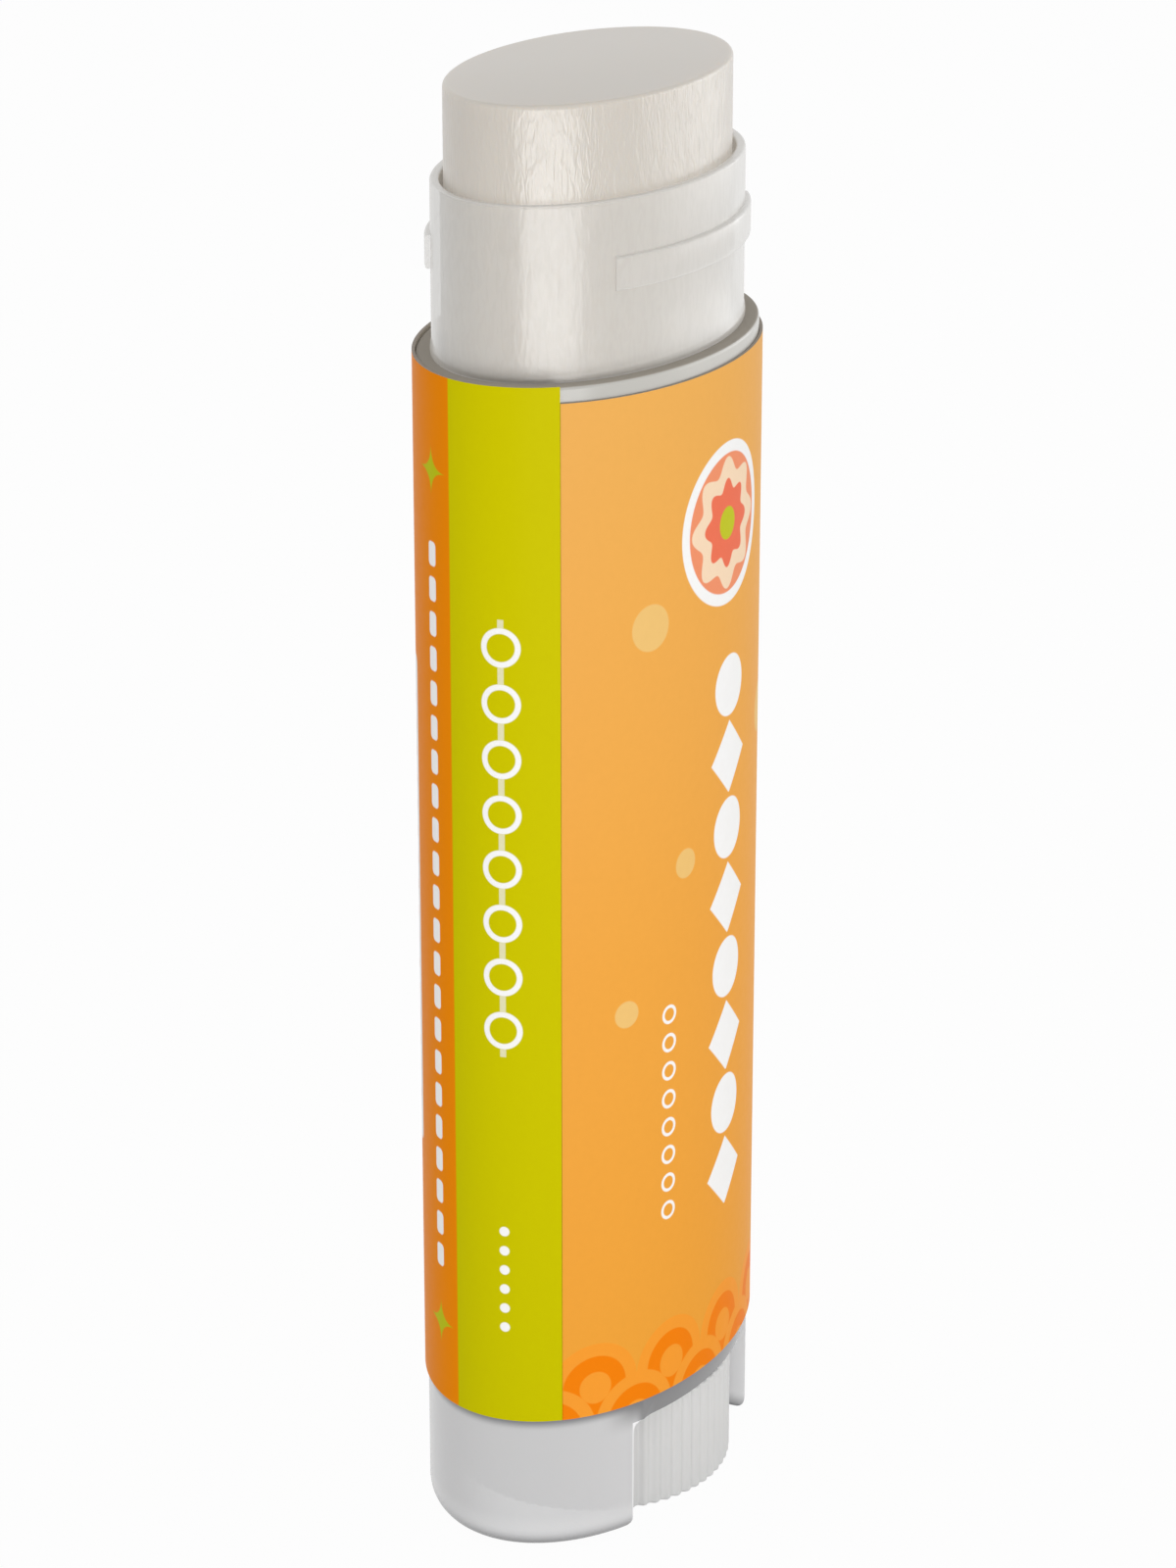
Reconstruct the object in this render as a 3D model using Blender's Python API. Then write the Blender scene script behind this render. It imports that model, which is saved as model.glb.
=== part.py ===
"""Oval twist-up lip balm stick, standing open with the balm raised a little above its neck.

Metres, +Z up. The origin is at the middle of the foot, on the axis that the dial and its screw turn about.
X is the width of the oval and Y its depth. The dial's right-hand screw lifts an oval carrier, which can't turn
in the oval bore, and the balm stands in the carrier's cup.

An inset is the distance from the tube's outer oval in to a surface, taken off both half axes alike.
"""

import math

import bmesh
import bpy
from mathutils import Matrix, Vector

# Tube: body wall, shoulder and neck
BODY_HALF_WIDTH = 0.00984
BODY_HALF_DEPTH = 0.00634
BODY_WALL = 0.00108
SHOULDER_HEIGHT = 0.05214
SHOULDER_EDGE_RADIUS = 0.00015
NECK_INSET = 0.00066
NECK_LENGTH = 0.00716
NECK_FOOT_FLARE = 0.00006
NECK_FOOT_HEIGHT = 0.00045
RIM_RADIUS = 0.00012

# Snap ribs for the cap, one on each wide face of the neck
SNAP_RIB_HALF_WIDTH = 0.00665
SNAP_RIB_HEIGHT = 0.00138
SNAP_RIB_PROUD = 0.0003
SNAP_RIB_BELOW_RIM = 0.00227
SNAP_RIB_EDGE = 0.00012

# Foot: end skirts, and the windows between them that show the dial
SKIRT_EDGE_RADIUS = 0.0007
SKIRT_INNER_CHAMFER = 0.00015
WINDOW_HALF_WIDTH = 0.00607
WINDOW_HEIGHT = 0.00526
WINDOW_CORNER_RADIUS = 0.00045
SKIRT_CORNER_RADIUS = 0.0004
FLOOR_LEDGE = 0.0002
FLOOR_THICKNESS = 0.0012

# Lip over each window: the wall leans in towards it, and the lean runs out beside the window
LIP_INSET = 0.00014
LIP_RISE = 0.001
LIP_FADE = 0.0013
LIP_RUN_OUT = 0.0005
LIP_END_GAP = 0.0001

# Dial, journal and the snap flange that keeps them in the floor
DIAL_INSET = 0.00005
DIAL_RIB_COUNT = 66
DIAL_RIB_DEPTH = 0.00014
DIAL_FOOT_GAP = 0.0001
DIAL_TOP_GAP = 0.0003
DIAL_CHAMFER = 0.0002
DIAL_RECESS_RADIUS = 0.0046
DIAL_RECESS_DEPTH = 0.0004
JOURNAL_RADIUS = 0.002
JOURNAL_CLEARANCE = 0.00025
FLANGE_OVERHANG = 0.0006
FLANGE_END_GAP = 0.0003
FLANGE_HEIGHT = 0.001
FLANGE_LIP = 0.0003

# Screw
SCREW_CORE_RADIUS = 0.0015
THREAD_DEPTH = 0.0006
THREAD_LEAD = 0.0036
THREAD_CLEARANCE = 0.00022
SCREW_BELOW_RIM = 0.0065

# Carrier
CARRIER_CLEARANCE = 0.0002
CARRIER_WALL = 0.0006
CARRIER_SKIRT = 0.0032
CARRIER_FLOOR = 0.001
CUP_DEPTH = 0.005
BOSS_WALL = 0.0007
BOSS_LENGTH = 0.0019
CARRIER_EDGE_RADIUS = 0.00012
CARRIER_STOP_GAP = 0.0004

# Balm, and how far it stands raised
BALM_ABOVE_RIM = 0.00387
BALM_BELOW_RIM_RETRACTED = 0.00103
BALM_BORE_CLEARANCE = 0.00015
BALM_CUP_GAP = 0.00015
BALM_SCREW_CLEARANCE = 0.00035
BALM_TIP_GAP = 0.0003
BALM_EDGE_RADIUS = 0.0002

# Labels
LABEL_FOOT = 0.0063
LABEL_GAP = 0.00006
LABEL_THICKNESS = 0.0001
FRONT_LABEL_BELOW_SHOULDER = 0.00064
BACK_LABEL_ABOVE_SHOULDER = 0.00006
LABEL_SEAM_ANGLE = math.radians(206.9)
LABEL_SEAM_GAP = 0.00006

# How finely the curves are drawn, and how far a cut runs past what it cuts
OVAL_SEGMENTS = 72
ROUND_SEGMENTS = 32
FILLET_STEPS = 3
SAMPLES_PER_RIB = 4
THREAD_STEPS_PER_TURN = 12
FRONT_LABEL_STEPS = 30
BACK_LABEL_STEPS = 44
SNAP_RIB_STEPS = 21
LIP_STEPS = 24
OVERRUN = 0.0005
SHARP_ANGLE = math.radians(35)

# Shares of one pitch of the thread, going round: root, rising flank, crest, falling flank
THREAD_CORNERS_SHARES = ((0.0, 0.0), (0.4, 0.0), (0.6, 1.0), (0.8, 1.0), (1.0, 0.0))
THREAD_SIDES = 10

# Sizes that follow from the ones above
DIAL_RADIUS = BODY_HALF_DEPTH - DIAL_INSET
RIM_HEIGHT = SHOULDER_HEIGHT + NECK_LENGTH
FLOOR_UNDERSIDE = WINDOW_HEIGHT + FLOOR_LEDGE
FLOOR_TOP = FLOOR_UNDERSIDE + FLOOR_THICKNESS
DIAL_TOP = FLOOR_UNDERSIDE - DIAL_TOP_GAP
FLANGE_FOOT = FLOOR_TOP + FLANGE_END_GAP
FLANGE_TOP = FLANGE_FOOT + FLANGE_HEIGHT
SCREW_TOP = RIM_HEIGHT - SCREW_BELOW_RIM
BALM_TOP = RIM_HEIGHT + BALM_ABOVE_RIM
RETRACTION = BALM_ABOVE_RIM + BALM_BELOW_RIM_RETRACTED
CARRIER_FOOT = FLOOR_TOP + CARRIER_STOP_GAP + RETRACTION
CUP_FLOOR = CARRIER_FOOT + CARRIER_SKIRT + CARRIER_FLOOR
CUP_RIM = CUP_FLOOR + CUP_DEPTH


def clear_scene():
    for obj in list(bpy.data.objects):
        bpy.data.objects.remove(obj, do_unlink=True)


def finish_material(name, colour, roughness, transmission=0.0):
    material = bpy.data.materials.new(name)
    material.use_nodes = True
    shader = material.node_tree.nodes["Principled BSDF"]
    shader.inputs["Base Color"].default_value = (*colour, 1.0)
    shader.inputs["Roughness"].default_value = roughness
    shader.inputs["Metallic"].default_value = 0.0
    shader.inputs["Transmission Weight"].default_value = transmission
    material.diffuse_color = (*colour, 1.0)
    material.roughness = roughness
    return material


def make_object(name, bm, material=None, height=0.0, parent=None):
    """Turns the finished bmesh into an object that stands on the stick's axis at a height above the foot."""
    bmesh.ops.recalc_face_normals(bm, faces=bm.faces)
    if bm.calc_volume(signed=True) < 0.0:
        bmesh.ops.reverse_faces(bm, faces=bm.faces)
    mesh = bpy.data.meshes.new(name)
    bm.to_mesh(mesh)
    bm.free()
    mesh.shade_smooth()
    mesh.set_sharp_from_angle(angle=SHARP_ANGLE)
    obj = bpy.data.objects.new(name, mesh)
    bpy.context.scene.collection.objects.link(obj)
    obj.location.z = height
    if material:
        mesh.materials.append(material)
    if parent:
        obj.parent = parent
        obj.location.z -= parent.location.z
    return obj


def make_cutter(name, bm, height=0.0):
    cutter = make_object(name, bm, height=height)
    cutter.hide_render = True
    cutter.display_type = "WIRE"
    return cutter


def combine(obj, tool, operation):
    modifier = obj.modifiers.new(tool.name, "BOOLEAN")
    modifier.operation = operation
    modifier.solver = "EXACT"
    modifier.object = tool


def add_ring(bm, half_width, half_depth, height, segments):
    """Adds one level oval or circle and returns its edges."""
    place = Matrix.Translation((0.0, 0.0, height)) @ Matrix.Diagonal((half_width, half_depth, 1.0, 1.0))
    ring = bmesh.ops.create_circle(bm, cap_ends=False, segments=segments, radius=1.0, matrix=place)
    return list({edge for vert in ring["verts"] for edge in vert.link_edges})


def raise_ring(bm, edges, stations):
    """Extrudes a ring of edges through (half width, half depth, height) stations and closes both its ends."""
    ring = edges
    for (width, depth, height), (next_width, next_depth, next_height) in zip(stations, stations[1:]):
        made = bmesh.ops.extrude_edge_only(bm, edges=ring)["geom"]
        verts = {item for item in made if isinstance(item, bmesh.types.BMVert)}
        ring = [item for item in made if isinstance(item, bmesh.types.BMEdge) and verts.issuperset(item.verts)]
        bmesh.ops.scale(bm, vec=(next_width / width, next_depth / depth, 1.0), verts=list(verts))
        bmesh.ops.translate(bm, vec=(0.0, 0.0, next_height - height), verts=list(verts))
    bmesh.ops.contextual_create(bm, geom=edges)
    bmesh.ops.contextual_create(bm, geom=ring)


def oval_solid(profile):
    """A body of level ovals that follow a profile of (inset, height) points, with both its ends closed."""
    bm = bmesh.new()
    stations = [(BODY_HALF_WIDTH - inset, BODY_HALF_DEPTH - inset, height) for inset, height in profile]
    raise_ring(bm, add_ring(bm, *stations[0], OVAL_SEGMENTS), stations)
    return bm


def round_solid(profile):
    """A body of level circles that follow a profile of (radius, height) points."""
    bm = bmesh.new()
    stations = [(radius, radius, height) for radius, height in profile]
    raise_ring(bm, add_ring(bm, *stations[0], ROUND_SEGMENTS), stations)
    return bm


def oval_strip(profile, start, end, steps):
    """Carries a closed profile of (inset, height) points along the oval from one angle to another."""
    bm = bmesh.new()
    loops = []
    for step in range(steps + 1):
        angle = start + (end - start) * step / steps
        corners = [bm.verts.new(oval_point(inset, height, angle)) for inset, height in profile]
        loops.append([bm.edges.new((corners[index - 1], corners[index])) for index in range(len(corners))])
    for here, there in zip(loops, loops[1:]):
        bmesh.ops.bridge_loops(bm, edges=here + there)
    bmesh.ops.contextual_create(bm, geom=loops[0])
    bmesh.ops.contextual_create(bm, geom=loops[-1])
    return bm


def oval_point(inset, height, angle):
    return Vector(
        (
            (BODY_HALF_WIDTH - inset) * math.cos(angle),
            (BODY_HALF_DEPTH - inset) * math.sin(angle),
            height,
        )
    )


def arc(centre, radius, start, end):
    """Points of an arc in a plane, both ends included; the angles are in degrees."""
    angles = [math.radians(start + (end - start) * step / FILLET_STEPS) for step in range(FILLET_STEPS + 1)]
    return [(centre[0] + radius * math.cos(angle), centre[1] + radius * math.sin(angle)) for angle in angles]


def make_tube(material):
    """The whole moulding: up the inside of the skirts, round the foot, up the wall, over the rim, down the bore."""
    foot = arc((SKIRT_EDGE_RADIUS, SKIRT_EDGE_RADIUS), SKIRT_EDGE_RADIUS, 270, 180)
    shoulder_edge = arc(
        (SHOULDER_EDGE_RADIUS, SHOULDER_HEIGHT - SHOULDER_EDGE_RADIUS), SHOULDER_EDGE_RADIUS, 180, 90
    )
    rim = arc((NECK_INSET + RIM_RADIUS, RIM_HEIGHT - RIM_RADIUS), RIM_RADIUS, 180, 90)
    profile = [
        (BODY_WALL, FLOOR_UNDERSIDE),
        (BODY_WALL, SKIRT_INNER_CHAMFER),
        (BODY_WALL - SKIRT_INNER_CHAMFER, 0.0),
        *foot,
        *shoulder_edge,
        (NECK_INSET - NECK_FOOT_FLARE, SHOULDER_HEIGHT),
        (NECK_INSET - NECK_FOOT_FLARE, SHOULDER_HEIGHT + NECK_FOOT_HEIGHT / 2),
        (NECK_INSET, SHOULDER_HEIGHT + NECK_FOOT_HEIGHT),
        *rim,
        (BODY_WALL - RIM_RADIUS, RIM_HEIGHT),
        (BODY_WALL, RIM_HEIGHT - RIM_RADIUS),
        (BODY_WALL, FLOOR_TOP),
    ]
    tube = make_object("tube", oval_solid(profile), material)
    for side, facing in (("front", 270), ("back", 90)):
        combine(tube, make_snap_rib(side, math.radians(facing)), "UNION")
    combine(tube, make_window_cutter(), "DIFFERENCE")
    for side, facing in (("front", 270), ("back", 90)):
        combine(tube, make_lip_cutter(side, math.radians(facing)), "DIFFERENCE")
    hole = round_solid(
        [
            (JOURNAL_RADIUS + JOURNAL_CLEARANCE, FLOOR_UNDERSIDE - OVERRUN),
            (JOURNAL_RADIUS + JOURNAL_CLEARANCE, FLOOR_TOP + OVERRUN),
        ]
    )
    combine(tube, make_cutter("cutter_journal_hole", hole), "DIFFERENCE")
    return tube


def make_snap_rib(side, facing):
    """The ridge that a cap snaps over: square ends, softly rounded outer edges, rooted in the neck's wall."""
    top = RIM_HEIGHT - SNAP_RIB_BELOW_RIM
    bottom = top - SNAP_RIB_HEIGHT
    face = NECK_INSET - SNAP_RIB_PROUD
    root = (NECK_INSET + BODY_WALL) / 2
    profile = [
        (root, bottom),
        *arc((face + SNAP_RIB_EDGE, bottom + SNAP_RIB_EDGE), SNAP_RIB_EDGE, 270, 180),
        *arc((face + SNAP_RIB_EDGE, top - SNAP_RIB_EDGE), SNAP_RIB_EDGE, 180, 90),
        (root, top),
    ]
    reach = math.asin(SNAP_RIB_HALF_WIDTH / (BODY_HALF_WIDTH - face))
    rib = oval_strip(profile, facing - reach, facing + reach, SNAP_RIB_STEPS)
    return make_cutter("tool_snap_rib_" + side, rib)


def make_window_cutter():
    """One cut through both wide faces: round top corners, and flared feet that round the skirts' corners."""
    side = [
        (WINDOW_HALF_WIDTH + SKIRT_CORNER_RADIUS, -OVERRUN),
        *arc(
            (WINDOW_HALF_WIDTH + SKIRT_CORNER_RADIUS, SKIRT_CORNER_RADIUS), SKIRT_CORNER_RADIUS, 270, 180
        ),
        *arc(
            (WINDOW_HALF_WIDTH - WINDOW_CORNER_RADIUS, WINDOW_HEIGHT - WINDOW_CORNER_RADIUS),
            WINDOW_CORNER_RADIUS,
            0,
            90,
        ),
    ]
    outline = side + [(-x, z) for x, z in reversed(side)]
    reach = BODY_HALF_DEPTH + OVERRUN
    bm = bmesh.new()
    corners = [bm.verts.new((x, -reach, z)) for x, z in outline]
    face = bm.faces.new(corners)
    extruded = bmesh.ops.extrude_face_region(bm, geom=[face])
    moved = [item for item in extruded["geom"] if isinstance(item, bmesh.types.BMVert)]
    bmesh.ops.translate(bm, verts=moved, vec=(0.0, 2 * reach, 0.0))
    return make_cutter("cutter_window", bm)


def make_lip_cutter(side, facing):
    """Pares the wall above a window down towards the lip, and draws back out of it beside the window."""
    foot = WINDOW_HEIGHT - OVERRUN
    top = WINDOW_HEIGHT + 2 * LIP_RISE
    profile = [
        (-OVERRUN, foot),
        (LIP_INSET * (1 + OVERRUN / LIP_RISE), foot),
        (-LIP_INSET, top),
        (-OVERRUN, top),
    ]
    reach = math.asin((WINDOW_HALF_WIDTH - LIP_END_GAP) / BODY_HALF_WIDTH)
    bm = oval_strip(profile, facing - reach, facing + reach, LIP_STEPS)
    for vert in bm.verts:
        share = max(0.0, abs(vert.co.x) - WINDOW_HALF_WIDTH + LIP_FADE) / LIP_FADE
        vert.co.y += math.copysign(LIP_RUN_OUT * share**2, vert.co.y)
    return make_cutter("cutter_lip_" + side, bm)


def add_ribbed_ring(bm, radius, height):
    """A circle that swells and narrows in waves, one for each rib; the samples straddle crests and grooves."""
    edges = add_ring(bm, radius, radius, height, DIAL_RIB_COUNT * SAMPLES_PER_RIB)
    straddle = math.pi / SAMPLES_PER_RIB
    for vert in {vert for edge in edges for vert in edge.verts}:
        wave = math.cos(DIAL_RIB_COUNT * math.atan2(vert.co.y, vert.co.x) + straddle)
        swell = 1.0 + wave / math.cos(straddle) * DIAL_RIB_DEPTH / (2 * radius)
        vert.co.xy *= swell
    return edges


def make_dial_screw(material):
    """Dial, journal, snap flange and screw, in one moulding; its origin is at the dial's foot, on the axis."""
    middle = DIAL_RADIUS - DIAL_RIB_DEPTH / 2
    narrow = middle - DIAL_CHAMFER
    thickness = DIAL_TOP - DIAL_FOOT_GAP
    stations = [
        (narrow, narrow, 0.0),
        (middle, middle, DIAL_CHAMFER),
        (middle, middle, thickness - DIAL_CHAMFER),
        (narrow, narrow, thickness),
    ]
    bm = bmesh.new()
    raise_ring(bm, add_ribbed_ring(bm, narrow, 0.0), stations)
    dial_screw = make_object("dial_screw", bm, material, DIAL_FOOT_GAP)
    recess = round_solid([(DIAL_RECESS_RADIUS, -OVERRUN), (DIAL_RECESS_RADIUS, DIAL_RECESS_DEPTH)])
    combine(dial_screw, make_cutter("cutter_dial_recess", recess, DIAL_FOOT_GAP), "DIFFERENCE")
    flange_radius = JOURNAL_RADIUS + FLANGE_OVERHANG
    journal = round_solid(
        [
            (JOURNAL_RADIUS, DIAL_TOP - OVERRUN),
            (JOURNAL_RADIUS, FLANGE_FOOT),
            (flange_radius, FLANGE_FOOT),
            (flange_radius, FLANGE_FOOT + FLANGE_LIP),
            (SCREW_CORE_RADIUS - FLANGE_LIP, FLANGE_TOP),
        ]
    )
    combine(dial_screw, make_cutter("tool_journal", journal), "UNION")
    screw = twisted_rod(0.0, FLANGE_FOOT + FLANGE_LIP / 2, SCREW_TOP)
    combine(dial_screw, make_cutter("tool_screw", screw), "UNION")
    return dial_screw


def thread_share(share):
    """How much of the thread's depth stands at this share of the way round its section."""
    for (first, low), (last, high) in zip(THREAD_CORNERS_SHARES, THREAD_CORNERS_SHARES[1:]):
        if share <= last:
            return low + (high - low) * (share - first) / (last - first)
    return 0.0


def twisted_rod(growth, bottom, top):
    """The screw's level section, turned steadily as it rises: that alone makes a right-hand thread.

    The heights are above the foot. Growth enlarges the section, for the thread that runs on the screw.
    """
    bm = bmesh.new()
    corners = []
    for side in range(THREAD_SIDES):
        share = side / THREAD_SIDES
        radius = SCREW_CORE_RADIUS + THREAD_DEPTH * thread_share(share) + growth
        angle = math.tau * (share + bottom / THREAD_LEAD)
        corners.append(bm.verts.new((radius * math.cos(angle), radius * math.sin(angle), bottom)))
    section = [bm.edges.new((corners[index - 1], corners[index])) for index in range(THREAD_SIDES)]
    turns = (top - bottom) / THREAD_LEAD
    steps = math.ceil(turns * THREAD_STEPS_PER_TURN)
    bmesh.ops.spin(
        bm,
        geom=corners + section,
        cent=(0.0, 0.0, 0.0),
        axis=(0.0, 0.0, 1.0),
        dvec=(0.0, 0.0, (top - bottom) / steps),
        angle=math.tau * turns,
        steps=steps,
        use_merge=False,
        use_duplicate=False,
    )
    bmesh.ops.holes_fill(bm, edges=bm.edges)
    return bm


def make_carrier(material):
    """Oval cup over a guide skirt; the boss under its floor holds the thread that runs on the screw."""
    outer = BODY_WALL + CARRIER_CLEARANCE
    inner = outer + CARRIER_WALL
    floor_underside = CUP_FLOOR - CARRIER_FLOOR - CARRIER_FOOT
    cup_floor = CUP_FLOOR - CARRIER_FOOT
    cup_rim = CUP_RIM - CARRIER_FOOT
    profile = [
        (inner, floor_underside),
        (inner, 0.0),
        *arc((outer + CARRIER_EDGE_RADIUS, CARRIER_EDGE_RADIUS), CARRIER_EDGE_RADIUS, 270, 180),
        *arc((outer + CARRIER_EDGE_RADIUS, cup_rim - CARRIER_EDGE_RADIUS), CARRIER_EDGE_RADIUS, 180, 90),
        (inner, cup_rim),
        (inner, cup_floor),
    ]
    carrier = make_object("carrier", oval_solid(profile), material, CARRIER_FOOT)
    boss_radius = SCREW_CORE_RADIUS + THREAD_DEPTH + THREAD_CLEARANCE + BOSS_WALL
    boss_foot = CUP_FLOOR - CARRIER_FLOOR - BOSS_LENGTH
    boss = round_solid([(boss_radius, boss_foot), (boss_radius, CUP_FLOOR - CARRIER_FLOOR / 2)])
    combine(carrier, make_cutter("tool_boss", boss), "UNION")
    nut = twisted_rod(THREAD_CLEARANCE, boss_foot - OVERRUN, CUP_FLOOR + OVERRUN)
    combine(carrier, make_cutter("cutter_nut_thread", nut), "DIFFERENCE")
    return carrier


def make_balm(material, carrier):
    """The poured stick: a plug in the cup, the shaft that fills the bore, and a blind hole round the screw."""
    plug = BODY_WALL + CARRIER_CLEARANCE + CARRIER_WALL + BALM_CUP_GAP
    shaft = BODY_WALL + BALM_BORE_CLEARANCE
    foot = CUP_FLOOR + BALM_CUP_GAP
    step = CUP_RIM + BALM_CUP_GAP
    top_edge = arc(
        (shaft + BALM_EDGE_RADIUS, BALM_TOP - foot - BALM_EDGE_RADIUS), BALM_EDGE_RADIUS, 180, 90
    )
    profile = [(plug, 0.0), (plug, step - foot), (shaft, step - foot), *top_edge]
    balm = make_object("balm", oval_solid(profile), material, foot, carrier)
    hole_radius = SCREW_CORE_RADIUS + THREAD_DEPTH + BALM_SCREW_CLEARANCE
    hole_top = SCREW_TOP + RETRACTION + BALM_TIP_GAP
    hole = round_solid([(hole_radius, foot - OVERRUN), (hole_radius, hole_top)])
    combine(balm, make_cutter("cutter_balm_hole", hole), "DIFFERENCE")
    return balm


def make_label(name, start, end, top, steps, material, tube):
    """A paper-thin skin on the body wall between two angles, with half a seam's gap left at each end."""
    back = -LABEL_GAP
    face = back - LABEL_THICKNESS
    seam = LABEL_SEAM_GAP / (2 * BODY_HALF_DEPTH)
    profile = [(back, 0.0), (face, 0.0), (face, top - LABEL_FOOT), (back, top - LABEL_FOOT)]
    strip = oval_strip(profile, start + seam, end - seam, steps)
    return make_object(name, strip, material, LABEL_FOOT, tube)


def make_labels(tube, front_material, back_material):
    """The front label ends at mirrored seams near the narrow ends, and the back label takes the rest round."""
    far_seam = 3 * math.pi - LABEL_SEAM_ANGLE
    front_top = SHOULDER_HEIGHT - FRONT_LABEL_BELOW_SHOULDER
    back_top = SHOULDER_HEIGHT + BACK_LABEL_ABOVE_SHOULDER
    make_label(
        "front_label", LABEL_SEAM_ANGLE, far_seam, front_top, FRONT_LABEL_STEPS, front_material, tube
    )
    make_label(
        "back_label",
        far_seam,
        LABEL_SEAM_ANGLE + math.tau,
        back_top,
        BACK_LABEL_STEPS,
        back_material,
        tube,
    )


def build():
    clear_scene()
    frosted = finish_material("frosted_polypropylene", (0.62, 0.62, 0.60), 0.45, 0.15)
    moulded = finish_material("white_polypropylene", (0.63, 0.63, 0.62), 0.4)
    wax = finish_material("cream_balm", (0.70, 0.67, 0.60), 0.35)
    front_paper = finish_material("light_orange_label", (0.85, 0.42, 0.10), 0.4)
    back_paper = finish_material("dark_orange_label", (0.68, 0.24, 0.002), 0.4)
    tube = make_tube(frosted)
    make_labels(tube, front_paper, back_paper)
    make_dial_screw(moulded)
    carrier = make_carrier(moulded)
    make_balm(wax, carrier)


build()
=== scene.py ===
# %% [markdown]
# # An oval lip balm stick, dressed for its portrait
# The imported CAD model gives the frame: where each piece is, how big it is and what moves. This lesson
# dresses that frame. Each visible solid gets a finer piece with the same sizes and a procedural material,
# then a white studio and a camera at the photograph's angle are set up.

import math

import bmesh
import bpy
from mathutils import Matrix, Vector


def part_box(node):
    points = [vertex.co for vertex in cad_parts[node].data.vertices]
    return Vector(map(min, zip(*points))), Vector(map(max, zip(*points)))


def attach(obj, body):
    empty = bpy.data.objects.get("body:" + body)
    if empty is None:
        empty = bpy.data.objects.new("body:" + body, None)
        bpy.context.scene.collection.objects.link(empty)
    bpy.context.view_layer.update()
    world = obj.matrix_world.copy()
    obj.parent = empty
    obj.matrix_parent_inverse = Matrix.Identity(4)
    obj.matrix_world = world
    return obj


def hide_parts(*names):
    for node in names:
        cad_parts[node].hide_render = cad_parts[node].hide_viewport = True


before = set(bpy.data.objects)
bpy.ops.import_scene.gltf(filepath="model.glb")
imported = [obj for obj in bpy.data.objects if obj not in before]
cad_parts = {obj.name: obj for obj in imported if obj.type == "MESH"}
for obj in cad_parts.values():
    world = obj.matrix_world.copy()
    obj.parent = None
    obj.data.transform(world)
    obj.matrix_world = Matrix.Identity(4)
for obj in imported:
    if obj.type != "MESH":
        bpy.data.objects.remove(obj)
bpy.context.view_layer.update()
MM = 0.001

# %% [markdown]
# ## The oval, read off the frame
# The tube is an oval that keeps the same middle all the way up, so nearly every surface is a stack of level
# ovals. A profile of (inset, height) points says how far each oval lies inside the body wall. Reading the
# body's half axes off the CAD box keeps the finer pieces true to the frame.

# %% Sizes that all the pieces share
tube_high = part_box("tube")[1]
HALF_WIDTH = tube_high.x
HALF_DEPTH = tube_high.y
RIM_HEIGHT = tube_high.z
WALL = 1.08 * MM
OVERRUN = 0.5 * MM
print("half axes in mm:", round(HALF_WIDTH / MM, 3), round(HALF_DEPTH / MM, 3))

# %% [markdown]
# ## Stacking rings
# A ring starts as a circle that is scaled to an oval. Extruding its edges and scaling the new ones to the
# next oval of the profile makes a wall whose faces are all four-sided, which shades cleanly. Closing the
# first and last ring leaves one closed body.

# %% Round corners and rings
ROUND_STEPS = 6
SMALL_ROUND_STEPS = 4


def pick(items, kind):
    return [item for item in items if isinstance(item, kind)]


def fillet(centre, radius, start, end, steps=ROUND_STEPS):
    """Points round a corner. The angles are in degrees."""
    across, up = centre
    angles = [math.radians(start + (end - start) * step / steps) for step in range(steps + 1)]
    return [(across + radius * math.cos(angle), up + radius * math.sin(angle)) for angle in angles]


def add_ring(bm, half_width, half_depth, height, steps):
    """Puts the first ring into an empty mesh and hands back its edges."""
    place = Matrix.Translation((0, 0, height)) @ Matrix.Diagonal((half_width, half_depth, 1, 1))
    bmesh.ops.create_circle(bm, cap_ends=False, segments=steps, radius=1, matrix=place)
    return bm.edges[:]


def stack_rings(bm, edges, stations):
    """Extrudes a ring through (half width, half depth, height) stations and closes both ends."""
    ring = edges
    for (width, depth, height), (next_width, next_depth, next_height) in zip(stations, stations[1:]):
        made = bmesh.ops.extrude_edge_only(bm, edges=ring)["geom"]
        verts = set(pick(made, bmesh.types.BMVert))
        ring = [edge for edge in pick(made, bmesh.types.BMEdge) if verts.issuperset(edge.verts)]
        bmesh.ops.scale(bm, vec=(next_width / width, next_depth / depth, 1), verts=list(verts))
        bmesh.ops.translate(bm, vec=(0, 0, next_height - height), verts=list(verts))
    bmesh.ops.contextual_create(bm, geom=edges)
    bmesh.ops.contextual_create(bm, geom=ring)


# %% Oval and round bodies
OVAL_STEPS = 288
CIRCLE_STEPS = 96


def stacked_body(stations, steps):
    bm = bmesh.new()
    stack_rings(bm, add_ring(bm, *stations[0], steps), stations)
    return bm


def oval_body(profile):
    """A closed body from (inset, height) points."""
    stations = [(HALF_WIDTH - inset, HALF_DEPTH - inset, height) for inset, height in profile]
    return stacked_body(stations, OVAL_STEPS)


def round_body(profile):
    """A closed body from (radius, height) points."""
    return stacked_body([(radius, radius, height) for radius, height in profile], CIRCLE_STEPS)


# %% [markdown]
# ## From bmesh to a shaded piece
# Every mesh goes through one small function, so that normals point outwards and only real corners stay
# sharp. A cut or a join is a Boolean that is applied at once: the finished piece carries no modifier.

# %% Finish a mesh and cut one with another
SHARP_ANGLE = math.radians(32)


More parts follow.
